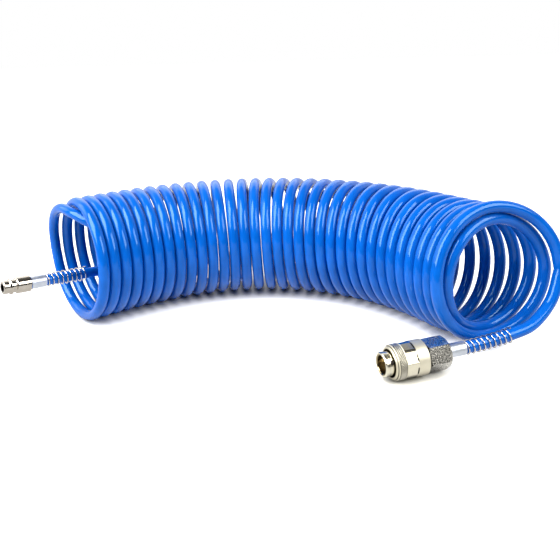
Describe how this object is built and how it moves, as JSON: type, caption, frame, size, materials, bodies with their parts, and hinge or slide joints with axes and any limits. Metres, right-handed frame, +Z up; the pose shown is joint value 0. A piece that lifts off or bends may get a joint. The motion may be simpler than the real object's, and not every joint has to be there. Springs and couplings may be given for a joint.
{
  "type": "coiled air hose",
  "caption": "Coiled polyurethane air hose lying in a shallow arc, with a sleeve-lock quick coupler at one end, a plug at the other and kink springs at both.",
  "frame": {"origin": "on the floor, under the middle of the whole object's box", "axes": "+Z up, +X along the coil from the plug end to the coupler end, -Y towards the open side of the coil's arc, where the coupler lies"},
  "size_m": [0.3937, 0.2157, 0.1023],
  "materials": {
    "hose": "clear blue polyurethane, glossy and a little see-through",
    "nickel": "nickel-plated steel, warm, satin to bright",
    "zinc": "bright zinc, smooth",
    "spring_steel": "drawn spring wire, bright",
    "seal_rubber": "black nitrile rubber",
    "valve_brass": "turned brass"
  },
  "bodies": {
    "hose": {"hose_coil": "hose", "hose_tail_coupler": "hose", "hose_tail_plug": "hose", "socket_body": "nickel", "sleeve_spring": "spring_steel", "plug_seal": "seal_rubber", "valve_spring": "spring_steel", "adapter_gasket": "seal_rubber", "rear_adapter": "nickel", "coupler_ferrule": "zinc", "coupler_kink_spring": "spring_steel", "plug_nipple": "nickel", "plug_ferrule": "zinc", "plug_kink_spring": "spring_steel"},
    "sleeve": {"locking_sleeve": "nickel", "sleeve_stop_ring": "spring_steel"},
    "valve": {"valve_poppet": "valve_brass", "valve_seal": "seal_rubber"},
    "ball_1": {"locking_ball_1": "spring_steel"},
    "ball_2": {"locking_ball_2": "spring_steel"},
    "ball_3": {"locking_ball_3": "spring_steel"}
  },
  "joints": [
    {"name": "sleeve_slide", "type": "slide", "parent": "hose", "child": "sleeve", "axis": [-0.9633, -0.2671, -0.0262], "range_m": [0, 0.0045], "deforming": ["sleeve_spring"]},
    {"name": "valve_slide", "type": "slide", "parent": "hose", "child": "valve", "axis": [0.9633, 0.2671, 0.0262], "range_m": [0, 0.003], "stiffness_N_per_m": 800, "springref_m": -0.006, "deforming": ["valve_spring"]},
    {"name": "ball_1_slide", "type": "slide", "parent": "hose", "child": "ball_1", "axis": [-0.2074, 0.8028, -0.559], "range_m": [0, 0.001]},
    {"name": "ball_2_slide", "type": "slide", "parent": "hose", "child": "ball_2", "axis": [-0.0438, 0.0602, 0.9972], "range_m": [0, 0.001]},
    {"name": "ball_3_slide", "type": "slide", "parent": "hose", "child": "ball_3", "axis": [0.2512, -0.863, -0.4382], "range_m": [0, 0.001]}
  ],
  "couplings": [
    {"joint": "ball_1_slide", "follows": "sleeve_slide", "ratio": 0.22222},
    {"joint": "ball_2_slide", "follows": "sleeve_slide", "ratio": 0.22222},
    {"joint": "ball_3_slide", "follows": "sleeve_slide", "ratio": 0.22222}
  ]
}
